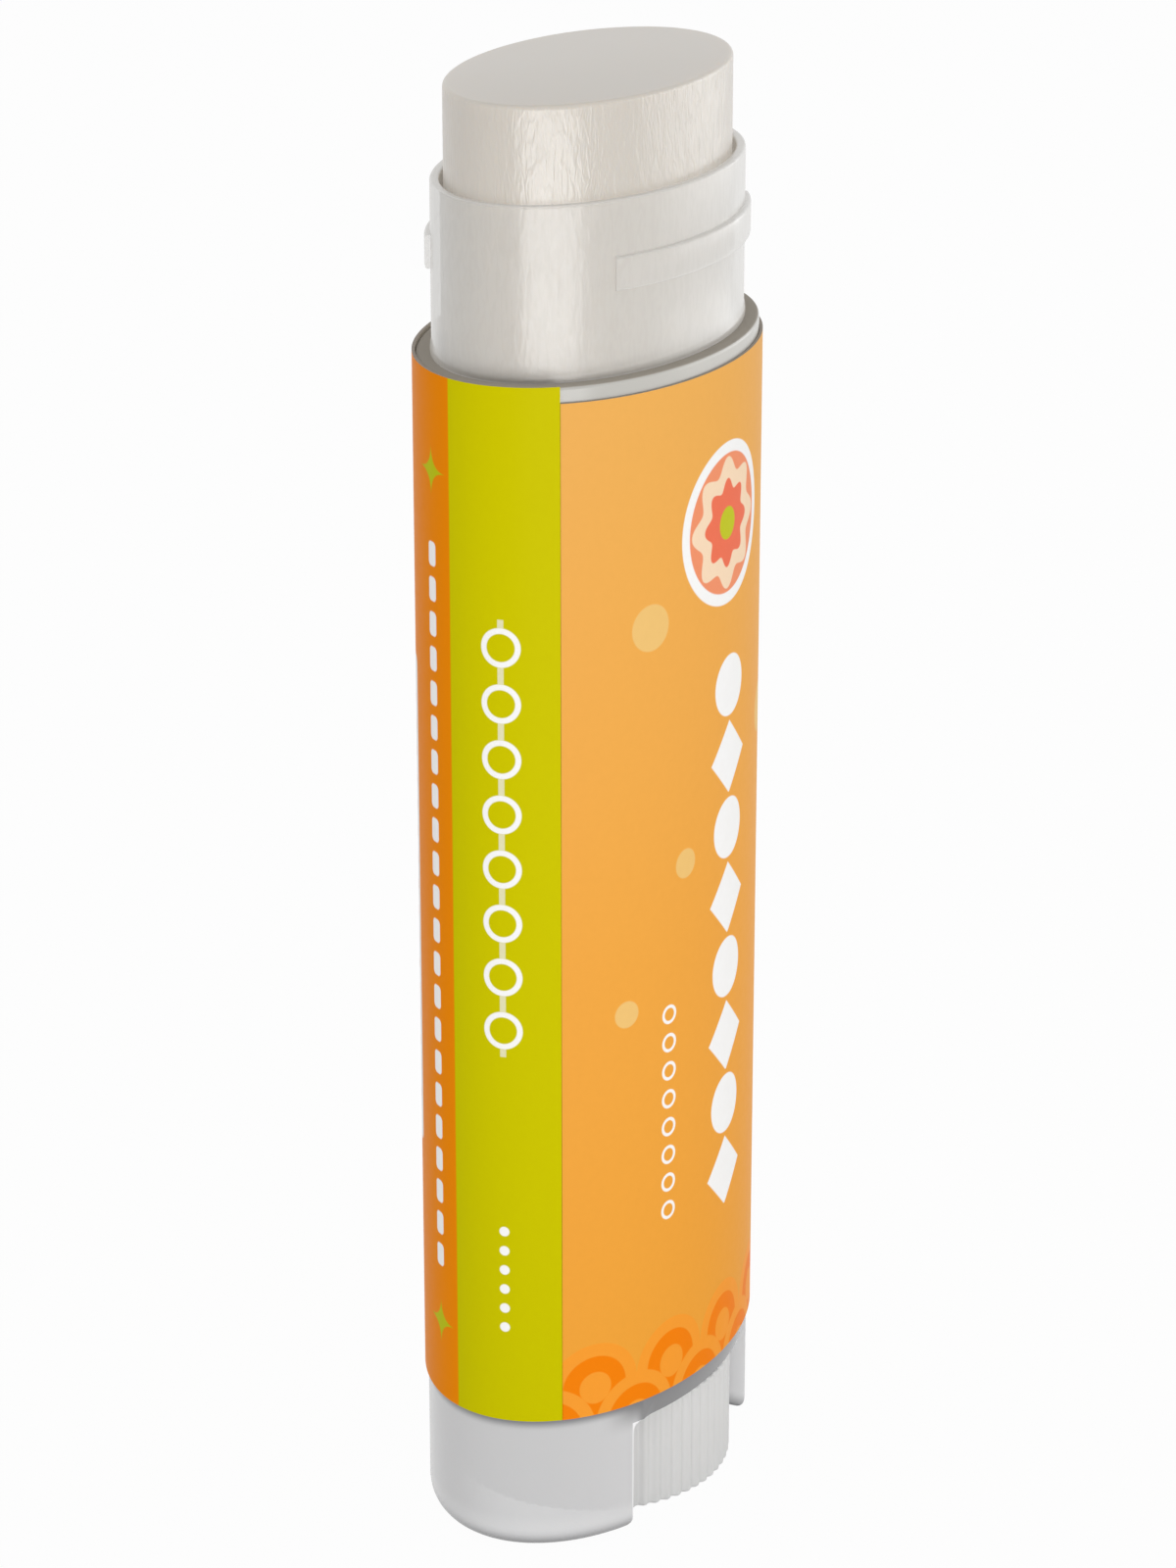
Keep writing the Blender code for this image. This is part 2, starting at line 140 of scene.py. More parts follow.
def new_piece(name, bm):
    bmesh.ops.recalc_face_normals(bm, faces=bm.faces)
    if bm.calc_volume(signed=True) < 0:
        bmesh.ops.reverse_faces(bm, faces=bm.faces)
    mesh = bpy.data.meshes.new(name)
    bm.to_mesh(mesh)
    bm.free()
    piece = bpy.data.objects.new(name, mesh)
    bpy.context.scene.collection.objects.link(piece)
    return shade(piece)


def shade(piece):
    piece.data.shade_smooth()
    piece.data.set_sharp_from_angle(angle=SHARP_ANGLE)
    return piece


def carve(piece, bm, operation="DIFFERENCE"):
    """Cuts the piece with a mesh, or joins it on, and throws the tool away."""
    tool = new_piece("tool", bm)
    modifier = piece.modifiers.new("cut", "BOOLEAN")
    modifier.operation = operation
    modifier.solver = "EXACT"
    modifier.object = tool
    graph = bpy.context.evaluated_depsgraph_get()
    piece.data = bpy.data.meshes.new_from_object(piece.evaluated_get(graph))
    piece.modifiers.remove(modifier)
    bpy.data.objects.remove(tool, do_unlink=True)
    return shade(piece)


def measure(piece):
    low = Vector([min(vert.co[axis] for vert in piece.data.vertices) for axis in range(3)])
    high = Vector([max(vert.co[axis] for vert in piece.data.vertices) for axis in range(3)])
    triangles = sum(len(polygon.vertices) - 2 for polygon in piece.data.polygons)
    print(piece.name, triangles, "triangles,", [round(value / MM, 2) for value in (*low, *high)], "mm")


# %% [markdown]
# ## The tube
# The real tube is one moulding of frosted plastic. Its section runs up the inside of the skirts, round the
# foot, up the wall, over the shoulder, up the neck and down the bore, so one profile makes it. Its corners
# are rounded as a mould leaves them, because a sharp edge catches no light.

# %% Tube: profile
LABEL_OVER_SHOULDER = 0.06 * MM
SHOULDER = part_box("back_label")[1].z - LABEL_OVER_SHOULDER
SHOULDER_ROUND = 0.15 * MM
NECK_INSET = 0.66 * MM
NECK_FLARE = 0.06 * MM
NECK_FOOT = 0.45 * MM
RIM_ROUND = 0.12 * MM
FOOT_ROUND = 0.7 * MM
FOOT_CHAMFER = 0.15 * MM
FLOOR_UNDERSIDE = 5.46 * MM
FLOOR_TOP = 6.66 * MM
RIB_BOTTOM = RIM_HEIGHT - 3.65 * MM
RIB_TOP = RIM_HEIGHT - 2.27 * MM
RIB_CLEARANCE = 0.02 * MM

tube_profile = [
    (WALL, FLOOR_UNDERSIDE),
    (WALL, FOOT_CHAMFER),
    (WALL - FOOT_CHAMFER, 0),
    *fillet((FOOT_ROUND, FOOT_ROUND), FOOT_ROUND, 270, 180),
    *fillet((SHOULDER_ROUND, SHOULDER - SHOULDER_ROUND), SHOULDER_ROUND, 180, 90),
    (NECK_INSET - NECK_FLARE, SHOULDER),
    (NECK_INSET - NECK_FLARE, SHOULDER + NECK_FOOT * 0.45),
    (NECK_INSET - NECK_FLARE * 0.7, SHOULDER + NECK_FOOT * 0.75),
    (NECK_INSET, SHOULDER + NECK_FOOT),
    (NECK_INSET, RIB_BOTTOM - RIB_CLEARANCE),
    (NECK_INSET, RIB_TOP + RIB_CLEARANCE),
    *fillet((NECK_INSET + RIM_ROUND, RIM_HEIGHT - RIM_ROUND), RIM_ROUND, 180, 90),
    *fillet((WALL - RIM_ROUND, RIM_HEIGHT - RIM_ROUND), RIM_ROUND, 90, 0),
    (WALL, FLOOR_TOP),
]
tube = new_piece("tube_moulding", oval_body(tube_profile))
measure(tube)

# %% [markdown]
# ## Snap ribs
# A cap would snap over one low ridge on each wide face of the neck. A ridge follows the oval, so its
# rounded section is spun round a unit circle, which is then scaled to the oval. The ridge is joined to the
# neck, so that the frosted plastic shows no seam between them.

# %% Spin a section
WIDE_FACES = (math.radians(270), math.radians(90))


def spin_up(bm, geom, angle, steps, rise=0):
    """Spins geometry round the upright axis, and lifts it by the rise at every step."""
    bmesh.ops.spin(
        bm,
        geom=geom,
        cent=(0, 0, 0),
        axis=(0, 0, 1),
        dvec=(0, 0, rise),
        angle=angle,
        steps=steps,
        use_merge=False,
        use_duplicate=False,
    )


def closed_outline(bm, points):
    verts = [bm.verts.new(point) for point in points]
    edges = [bm.edges.new((verts[index - 1], verts[index])) for index in range(len(verts))]
    return verts, edges


def spun_ridge(section, middle, reach, steps):
    """Spins a closed (share of the half axes, height) section round a unit circle, then makes it oval."""
    bm = bmesh.new()
    verts, edges = closed_outline(bm, [(share, 0, height) for share, height in section])
    first = bmesh.ops.contextual_create(bm, geom=edges)["faces"]
    turn = Matrix.Rotation(middle - reach, 3, "Z")
    bmesh.ops.rotate(bm, verts=verts, cent=(0, 0, 0), matrix=turn)
    spin_up(bm, first, 2 * reach, steps)
    bmesh.ops.scale(bm, vec=(HALF_WIDTH, HALF_DEPTH, 1), verts=bm.verts)
    return bm


def as_share(inset):
    """An inset as a share of the half depth: exact on the middle of a wide face."""
    return 1 - inset / HALF_DEPTH


# %% Snap ribs
RIB_FACE = 0.36 * MM
RIB_ROOT = 0.87 * MM
RIB_ROUND = 0.12 * MM
RIB_HALF_WIDTH = 6.65 * MM
RIB_STEPS = 64

rib_section = [
    (RIB_ROOT, RIB_BOTTOM),
    *fillet((RIB_FACE + RIB_ROUND, RIB_BOTTOM + RIB_ROUND), RIB_ROUND, 270, 180, SMALL_ROUND_STEPS),
    *fillet((RIB_FACE + RIB_ROUND, RIB_TOP - RIB_ROUND), RIB_ROUND, 180, 90, SMALL_ROUND_STEPS),
    (RIB_ROOT, RIB_TOP),
]
rib_shares = [(as_share(inset), height) for inset, height in rib_section]
rib_reach = math.asin(RIB_HALF_WIDTH / (HALF_WIDTH - RIB_FACE))
for wide_face in WIDE_FACES:
    carve(tube, spun_ridge(rib_shares, wide_face, rib_reach, RIB_STEPS), "UNION")
measure(tube)

# %% [markdown]
# ## The windows that show the dial
# Two cuts leave the end skirts standing. The window is drawn flat, with round top corners and with feet
# that flare to round the skirts' corners, and is pushed through both wide faces. Above each window the wall
# leans in by a tenth of a millimetre or so towards the lip, and runs out softly beside it.

# %% Windows
WINDOW_HALF_WIDTH = 6.07 * MM
WINDOW_TOP = 5.26 * MM
WINDOW_ROUND = 0.45 * MM
SKIRT_ROUND = 0.4 * MM

window_side = [
    (WINDOW_HALF_WIDTH + SKIRT_ROUND, -OVERRUN),
    *fillet((WINDOW_HALF_WIDTH + SKIRT_ROUND, SKIRT_ROUND), SKIRT_ROUND, 270, 180),
    *fillet((WINDOW_HALF_WIDTH - WINDOW_ROUND, WINDOW_TOP - WINDOW_ROUND), WINDOW_ROUND, 0, 90),
]
outline = window_side + [(-x, height) for x, height in reversed(window_side)]
reach = HALF_DEPTH + OVERRUN
bm = bmesh.new()
window_face = bm.faces.new([bm.verts.new((x, -reach, height)) for x, height in outline])
pushed = bmesh.ops.extrude_face_region(bm, geom=[window_face])["geom"]
bmesh.ops.translate(bm, verts=pick(pushed, bmesh.types.BMVert), vec=(0, 2 * reach, 0))
carve(tube, bm)
measure(tube)

# %% Lips over the windows
LIP_INSET = 0.14 * MM
LIP_TOP = 6.26 * MM
LIP_FADE = 1.3 * MM
LIP_RUN_OUT = 0.5 * MM
LIP_MARGIN = 0.1 * MM
LIP_STEPS = 96

lip_section = [
    (as_share(-OVERRUN), WINDOW_TOP - OVERRUN),
    (as_share(LIP_INSET * 1.6), WINDOW_TOP - OVERRUN),
    (as_share(LIP_INSET), WINDOW_TOP),
    (as_share(LIP_INSET * 0.3), (WINDOW_TOP + LIP_TOP) / 2),
    (as_share(0), LIP_TOP),
    (as_share(-OVERRUN), LIP_TOP),
]
lip_reach = math.asin((WINDOW_HALF_WIDTH - LIP_MARGIN) / HALF_WIDTH)
for wide_face in WIDE_FACES:
    bm = spun_ridge(lip_section, wide_face, lip_reach, LIP_STEPS)
    for vert in bm.verts:
        beyond = max(0, abs(vert.co.x) - WINDOW_HALF_WIDTH + LIP_FADE) / LIP_FADE
        vert.co.y += math.copysign(LIP_RUN_OUT * beyond**2, vert.co.y)
    carve(tube, bm)
measure(tube)

# %% The dial's bearing in the floor
JOURNAL_HOLE = 2.25 * MM
carve(tube, round_body([(JOURNAL_HOLE, FLOOR_UNDERSIDE - OVERRUN), (JOURNAL_HOLE, FLOOR_TOP + OVERRUN)]))
measure(tube)

# %% [markdown]
# ## The dial
# The dial has 66 shallow ribs for the thumb. A ring with twelve points a rib is swollen in and out by a
# cosine, then stacked like the others. The cosine's phase only says where the first rib stands. A shallow
# recess is turned into its underside.

# %% Dial
dial_low, dial_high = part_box("dial_screw")
DIAL_RADIUS = dial_high.x
DIAL_FOOT = dial_low.z
DIAL_TOP = 5.16 * MM
DIAL_ROUND = 0.2 * MM
RIB_COUNT = 66
RIB_DEPTH = 0.14 * MM
RIB_PHASE = math.radians(45)
POINTS_PER_RIB = 12
RECESS_RADIUS = 4.6 * MM
RECESS_DEPTH = 0.4 * MM

round_centre = DIAL_RADIUS - RIB_DEPTH / 2 - DIAL_ROUND
bm = bmesh.new()
dial_ring = add_ring(bm, round_centre, round_centre, DIAL_FOOT, RIB_COUNT * POINTS_PER_RIB)
for vert in bm.verts:
    wave = math.cos(RIB_COUNT * math.atan2(vert.co.y, vert.co.x) + RIB_PHASE)
    vert.co.xy *= 1 + wave * RIB_DEPTH / 2 / round_centre
dial_profile = [
    *fillet((round_centre, DIAL_FOOT + DIAL_ROUND), DIAL_ROUND, 270, 360, SMALL_ROUND_STEPS),
    *fillet((round_centre, DIAL_TOP - DIAL_ROUND), DIAL_ROUND, 0, 90, SMALL_ROUND_STEPS),
]
stack_rings(bm, dial_ring, [(radius, radius, height) for radius, height in dial_profile])
dial = new_piece("dial_and_screw", bm)
carve(dial, round_body([(RECESS_RADIUS, DIAL_FOOT - OVERRUN), (RECESS_RADIUS, DIAL_FOOT + RECESS_DEPTH)]))
measure(dial)

# %% [markdown]
# ## Journal, snap flange and screw
# These are one moulding with the dial, so they are joined to it. The flange snaps through the tube's floor
# and rests on it. The screw's level section is spun while it rises, which makes the right-hand thread in
# one step.

# %% Journal and snap flange
JOURNAL = 2.0 * MM
FLANGE_FOOT = 6.96 * MM
FLANGE_REACH = 0.6 * MM
FLANGE_EDGE = 0.3 * MM
FLANGE_HEIGHT = 1.0 * MM
FLANGE_TOP_RADIUS = 1.2 * MM

flange_profile = [
    (JOURNAL, DIAL_TOP - OVERRUN),
    (JOURNAL, FLANGE_FOOT),
    (JOURNAL + FLANGE_REACH, FLANGE_FOOT),
    (JOURNAL + FLANGE_REACH, FLANGE_FOOT + FLANGE_EDGE),
    (FLANGE_TOP_RADIUS, FLANGE_FOOT + FLANGE_HEIGHT),
]
carve(dial, round_body(flange_profile), "UNION")
measure(dial)

# %% Screw
SCREW_FOOT = FLANGE_FOOT + FLANGE_EDGE / 2
SCREW_TOP = dial_high.z
THREAD_LEAD = 3.6 * MM
CORE_RADIUS = 1.5 * MM
THREAD_DEPTH = 0.6 * MM
RISES_PER_TURN = 24
thread_shares = [0, 0, 0, 0, 0, 0.25, 0.75, 1, 1, 0.75, 0.5, 0.25]

section = []
for number, share in enumerate(thread_shares):
    radius = CORE_RADIUS + THREAD_DEPTH * share
    angle = math.tau * (number / len(thread_shares) + SCREW_FOOT / THREAD_LEAD)
    section.append((radius * math.cos(angle), radius * math.sin(angle), SCREW_FOOT))
screw_length = SCREW_TOP - SCREW_FOOT
turns = screw_length / THREAD_LEAD
rises = math.ceil(turns * RISES_PER_TURN)
bm = bmesh.new()
corners, sides = closed_outline(bm, section)
spin_up(bm, corners + sides, math.tau * turns, rises, screw_length / rises)
bmesh.ops.holes_fill(bm, edges=bm.edges)
carve(dial, bm, "UNION")
measure(dial)

# %% [markdown]
# ## The carrier
# The carrier hides in the tube and shows only through the frosted neck when the balm is wound right up. Its
# CAD mesh is fine enough: a copy is merged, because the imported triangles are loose, and shaded smooth.

# %% Carrier
MERGE_DISTANCE = 0.001 * MM
bm = bmesh.new()
bm.from_mesh(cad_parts["carrier"].data)
bmesh.ops.remove_doubles(bm, verts=bm.verts, dist=MERGE_DISTANCE)
carrier = new_piece("carrier_cup", bm)
measure(carrier)

# %% [markdown]
# ## The balm
# The balm was poured into the tube, so it is the bore's oval with a flat top and a soft edge. The hairline
# wrinkles on its side are left to the material. The plug below stands in the carrier's cup.

# %% Balm
balm_low, balm_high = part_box("balm")
BALM_CLEARANCE = 0.15 * MM
BALM_INSET = WALL + BALM_CLEARANCE
BALM_ROUND = 0.2 * MM
CUP_ROOM = 0.95 * MM
PLUG_INSET = WALL + CUP_ROOM
PLUG_TOP = 21.31 * MM
SCREW_BORE = 2.45 * MM
SCREW_HEADROOM = 5.2 * MM

balm_profile = [
    (PLUG_INSET, balm_low.z),
    (PLUG_INSET, PLUG_TOP),
    (BALM_INSET, PLUG_TOP),
    *fillet((BALM_INSET + BALM_ROUND, balm_high.z - BALM_ROUND), BALM_ROUND, 180, 90),
]
balm = new_piece("balm_stick", oval_body(balm_profile))
carve(balm, round_body([(SCREW_BORE, balm_low.z - OVERRUN), (SCREW_BORE, SCREW_TOP + SCREW_HEADROOM)]))
measure(balm)

# %% [markdown]
# ## The labels
# Each label is one thin film. An upright edge is spun round a unit circle between the two seams, scaled to
# the oval and thickened. Its UV map counts shares of the label's width, measured along the oval, and of its
# height, so the print follows the film and not the world. Faces that carry no ink get a second material.

# %% Labels: a sheet round the oval
LABEL_FILM = 0.13 * MM
SEAM_GAP = 0.015 * MM
SEAM_ANGLE = math.radians(206.9)
FAR_SEAM_ANGLE = 3 * math.pi - SEAM_ANGLE
ANGLE_SLACK = 0.01
label_half_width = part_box("back_label")[1].x
label_half_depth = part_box("back_label")[1].y


def arc_length(start, end, steps=400):
    """The length along the label's oval from one angle to another."""
    length = 0
    for step in range(steps):
        angle = start + (end - start) * (step + 0.5) / steps
        speed = math.hypot(label_half_width * math.sin(angle), label_half_depth * math.cos(angle))
        length += speed * (end - start) / steps
    return length


def bent_sheet(first, last, low, high, steps):
    bm = bmesh.new()
    foot = bm.verts.new((math.cos(first), math.sin(first), low))
    top = bm.verts.new((math.cos(first), math.sin(first), high))
    edge = bm.edges.new((foot, top))
    spin_up(bm, [foot, top, edge], last - first, steps)
    bmesh.ops.scale(bm, vec=(label_half_width, label_half_depth, 1), verts=bm.verts)
    bmesh.ops.recalc_face_normals(bm, faces=bm.faces)
    middle = bm.faces[:][len(bm.faces) // 2]
    if middle.normal.dot(middle.calc_center_median()) < 0:
        bmesh.ops.reverse_faces(bm, faces=bm.faces)
    bmesh.ops.solidify(bm, geom=bm.faces[:], thickness=LABEL_FILM)
    return bm


# %% Labels: the place of the print
def write_uv(bm, first, last, low, high):
    """Lays the UV map out and hands back the label's flat width."""
    uv = bm.loops.layers.uv.new("print")
    width = arc_length(first, last)
    for face in bm.faces:
        for loop in face.loops:
            place = loop.vert.co
            angle = math.atan2(place.y / label_half_depth, place.x / label_half_width)
            while angle < first - ANGLE_SLACK:
                angle += math.tau
            while angle > last + ANGLE_SLACK:
                angle -= math.tau
            loop[uv].uv = (arc_length(first, angle) / width, (place.z - low) / (high - low))
    return width


def mark_bare_faces(bm):
    """Gives the film's back and its level edges the second material."""
    for face in bm.faces:
        outward = Vector((face.normal.x, face.normal.y, 0))
        is_back = outward.dot(face.calc_center_median()) < 0
        face.material_index = int(is_back or abs(face.normal.z) > 0.5)


# %% Labels: front and back
def label_film(name, start, end, node, steps):
    low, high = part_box(node)
    gap = SEAM_GAP / (2 * label_half_depth)
    first, last = start + gap, end - gap
    bm = bent_sheet(first, last, low.z, high.z, steps)
    width = write_uv(bm, first, last, low.z, high.z)
    mark_bare_faces(bm)
    film = new_piece(name, bm)
    measure(film)
    print("flat size in mm:", round(width / MM, 2), round((high.z - low.z) / MM, 2))
    return film, width, high.z - low.z


front_label, front_width, front_height = label_film(
    "front_label_film", SEAM_ANGLE, FAR_SEAM_ANGLE, "front_label", steps=120
)
back_label, back_width, back_height = label_film(
    "back_label_film", FAR_SEAM_ANGLE, SEAM_ANGLE + math.tau, "back_label", steps=220
)

# %% [markdown]
# ## Shader maths as plain expressions
# A signal is one output socket of a node. Signals can be added, multiplied or compared like numbers, and
# each operation places one Math node.


# %% Signals
class Signal:
    def __init__(self, board, socket):
        self.board = board
        self.socket = socket

    def maths(self, operation, *values):
        return self.board.add("ShaderNodeMath", {"operation": operation}, dict(enumerate(values)))

    def __add__(self, other):
        return self.maths("ADD", self, other)

    def __radd__(self, other):
        return self.maths("ADD", other, self)

    def __sub__(self, other):
        return self.maths("SUBTRACT", self, other)

    def __rsub__(self, other):
        return self.maths("SUBTRACT", other, self)

    def __mul__(self, other):
        return self.maths("MULTIPLY", self, other)

    def __rmul__(self, other):
        return self.maths("MULTIPLY", other, self)

    def __truediv__(self, other):
        return self.maths("DIVIDE", self, other)

    def __rtruediv__(self, other):
        return self.maths("DIVIDE", other, self)

    def __mod__(self, other):
        return self.maths("FLOORED_MODULO", self, other)

    def __rmod__(self, other):
        return self.maths("FLOORED_MODULO", other, self)

    def __abs__(self):
        return self.maths("ABSOLUTE", self)

    def __lt__(self, other):
        return self.maths("LESS_THAN", self, other)

    def __gt__(self, other):
        return self.maths("GREATER_THAN", self, other)

    def power(self, other):
        return self.maths("POWER", self, other)

    def root(self):
        return self.maths("SQRT", self)

    def floor(self):
        return self.maths("FLOOR", self)

    def cosine(self):
        return self.maths("COSINE", self)

    def angle_over(self, across):
        return self.maths("ARCTAN2", self, across)

    def larger(self, other):
        return self.maths("MAXIMUM", self, other)


# %% [markdown]
# ## A board for each material
# A board holds the nodes of one material, or of the world. Its `node` method makes any node: the settings
# come first, then the values or links of its sockets. `add` does the same and hands back one output as a
# signal. The other methods are the few patterns that the finishes share.


# %% Boards
class Board:
    def __init__(self, owner):
        owner.use_nodes = True
        owner.node_tree.nodes.clear()
        self.owner = owner
        self.tree = owner.node_tree

    def node(self, kind, settings=None, inputs=None):
        node = self.tree.nodes.new(kind)
        for name, value in (settings or {}).items():
            if name == "stops":
                self.set_stops(node.color_ramp.elements, value)
            else:
                setattr(node, name, value)
        for key, value in (inputs or {}).items():
            if isinstance(value, Signal):
                self.tree.links.new(value.socket, node.inputs[key])
            else:
                node.inputs[key].default_value = value
        return node

    def set_stops(self, elements, stops):
        while len(elements) < len(stops):
            elements.new(0.5)
        for element, (position, colour) in zip(elements, stops):
            element.position = position
            element.color = colour

    def add(self, kind, settings=None, inputs=None, output=0):
        return Signal(self, self.node(kind, settings, inputs).outputs[output])

    def mix(self, factor, first, second):
        """Blends two colours."""
        return self.add("ShaderNodeMix", {"data_type": "RGBA"}, {0: factor, 6: first, 7: second}, 2)

    def step(self, value, low, high):
        """Rises smoothly from 0 at low to 1 at high."""
        inputs = {"Value": value, "From Min": low, "From Max": high}
        return self.add("ShaderNodeMapRange", {"interpolation_type": "SMOOTHSTEP"}, inputs)

    def within(self, value, low, high):
        return (value > low) * (value < high)

    def between(self, value, low, high):
        """Turns 0 to 1 into low to high."""
        return self.add("ShaderNodeMapRange", None, {"Value": value, "To Min": low, "To Max": high})

    def place(self, scale=(1, 1, 1)):
        """Object coordinates, stretched by a Mapping node."""
        here = self.add("ShaderNodeTexCoord", output="Object")
        return self.add("ShaderNodeMapping", {"vector_type": "POINT"}, {"Vector": here, "Scale": scale})

    def split(self, vector):
        outputs = self.node("ShaderNodeSeparateXYZ", None, {0: vector}).outputs
        return [Signal(self, socket) for socket in outputs]

    def upward(self):
        """How far a face looks up: 1 for a level top, 0 for an upright wall."""
        return self.split(self.add("ShaderNodeNewGeometry", output="Normal"))[2]

    def noise(self, place, scale, detail=3.0, wobble=0.0):
        inputs = {"Vector": place, "Scale": scale, "Detail": detail, "Distortion": wobble}
        return self.add("ShaderNodeTexNoise", {"normalize": True}, inputs)

    def bump(self, height, strength, distance, below=None):
        inputs = {"Strength": strength, "Distance": distance, "Height": height}
        if below is not None:
            inputs["Normal"] = below
        return self.add("ShaderNodeBump", None, inputs)

    def principled(self, inputs):
        return self.finish(self.add("ShaderNodeBsdfPrincipled", None, inputs))

    def finish(self, shader, output="ShaderNodeOutputMaterial"):
        self.node(output, None, {"Surface": shader})
        return self.owner


def paint(red, green, blue):
    """A colour as a screen shows it, 0 to 255, turned into the linear values that nodes take."""
    shares = [value / 255 for value in (red, green, blue)]
    linear = [v / 12.92 if v <= 0.04045 else ((v + 0.055) / 1.055) ** 2.4 for v in shares]
    return (*linear, 1.0)


def wear(piece, *materials):
    for material in materials:
        piece.data.materials.append(material)
        print(piece.name, "wears", material.name, "with", len(material.node_tree.nodes), "nodes")


# %% [markdown]
# ## Places on the tube
# The tube's finish changes from place to place: the neck is thin, and the ledge, the rim, the ribs and the
# windows' cut edges each look different. Every place is a mask of 0 to 1, worked out from Object
# coordinates, which count from the middle of the foot, and from how far a face looks up.

# %% Places on the tube
LABEL_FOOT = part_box("back_label")[0].z


class TubeBoard(Board):
    def __init__(self, name):
        super().__init__(bpy.data.materials.new(name))
        self.here = self.place()
        self.width, self.depth, self.height = self.split(self.here)
        self.slant = self.add("ShaderNodeLayerWeight", None, {"Blend": 0.5}, "Facing")
        self.thin = self.step(self.height, SHOULDER - 0.02 * MM, SHOULDER + 0.1 * MM)
        level = self.step(self.upward(), 0.6, 0.9)
        self.ledge = level * self.within(self.height, SHOULDER - 0.2 * MM, SHOULDER + 0.2 * MM)
        self.rim = level * (self.height > RIM_HEIGHT - 0.3 * MM)
        self.rib = self.snap_rib()
        self.cut_edge = 1 - self.step(abs(self.width), 6.08 * MM, 6.14 * MM)
        self.cut_edge = self.cut_edge * (self.height < WINDOW_TOP)

    def snap_rib(self):
        """The ribs are what stands a little outside the neck's oval."""
        across = self.width / (HALF_WIDTH - NECK_INSET)
        along = self.depth / (HALF_DEPTH - NECK_INSET)
        outside = (across * across + along * along).root() > 1.005
        return outside * (self.height > RIB_BOTTOM - 0.1 * MM)

    def lip(self):
        """Painted shade on the wall over a window: hard at the lower edge in the middle, soft beside it."""
        beside = self.step(abs(self.width), 5.5 * MM, 6.0 * MM)
        hard = self.step(self.height, WINDOW_TOP - 0.04 * MM, WINDOW_TOP)
        soft = self.step(self.height, WINDOW_TOP - 0.5 * MM, WINDOW_TOP + 0.9 * MM)
        over_window = 1 - self.step(abs(self.width), 5.8 * MM, 7.6 * MM)
        over_window = over_window * (self.height < LABEL_FOOT + 1.0 * MM)
        return over_window * (hard * (1 - beside) + soft * beside)


# %% [markdown]
# ## How much shows through the plastic
# The real wall is milky: part of the light is scattered back, and the rest goes on and shows the balm
# behind. A clear glass would bend it and a rough one would blur it, so a share of the surface simply lets
# the light through, by Alpha. The neck's wall is the thinnest, so that share is largest there. Seen at a
# slant the way through the wall is longer, so the share falls with a power that grows as the cosine falls.
# The rim, the ledge, the ribs and the windows' cut edges are thicker along the look, so they are denser.
#
# Each wall has an outer and an inner face, and counting both would show every inner edge as a dark line:
# the faces seen from behind let all light pass. The scattered light also goes on into the tube, so a shadow
# ray passes more of the neck than a look does.

# %% See-through share
WALL_SEEN_THROUGH = 0.12
NECK_SEEN_THROUGH = 0.62
SLANT_POWER = -1.3
LEAST_COSINE = 0.1
DENSER_EDGES = 0.9
DENSER_RIM = 0.7
DENSER_RIBS = 0.14
SHADOW_LET_THROUGH = 0.85


def see_through(board):
    straight = WALL_SEEN_THROUGH + (NECK_SEEN_THROUGH - WALL_SEEN_THROUGH) * board.thin
    share = straight.power((1 - board.slant).larger(LEAST_COSINE).power(SLANT_POWER))
    share = share * (1 - board.cut_edge.larger(board.ledge) * DENSER_EDGES)
    return share * (1 - board.rim * DENSER_RIM) * (1 - board.rib * DENSER_RIBS)


def tube_alpha(board):
    behind = board.add("ShaderNodeNewGeometry", output="Backfacing")
    shadow_ray = board.add("ShaderNodeLightPath", output="Is Shadow Ray")
    in_shadow = 1 - SHADOW_LET_THROUGH * shadow_ray * board.thin
    return (1 - see_through(board)) * (1 - behind) * in_shadow


# %% [markdown]
# ## The milky colour, with painted shade and painted light
# The plastic is a neutral white that is a little warmer in the neck. Painted shade darkens the colour where
# parts meet: under the label, over the windows, at the foot, below the shoulder, on the ledge and where the
# neck stands on the ledge. Painted light lifts the lowest band of the skirts and the windows' cut edges.
# They are laid on in turn, each with its own mask. The upright lines drawn into the balm show through the
# neck, and a trace of them in its own colour keeps them crisp.


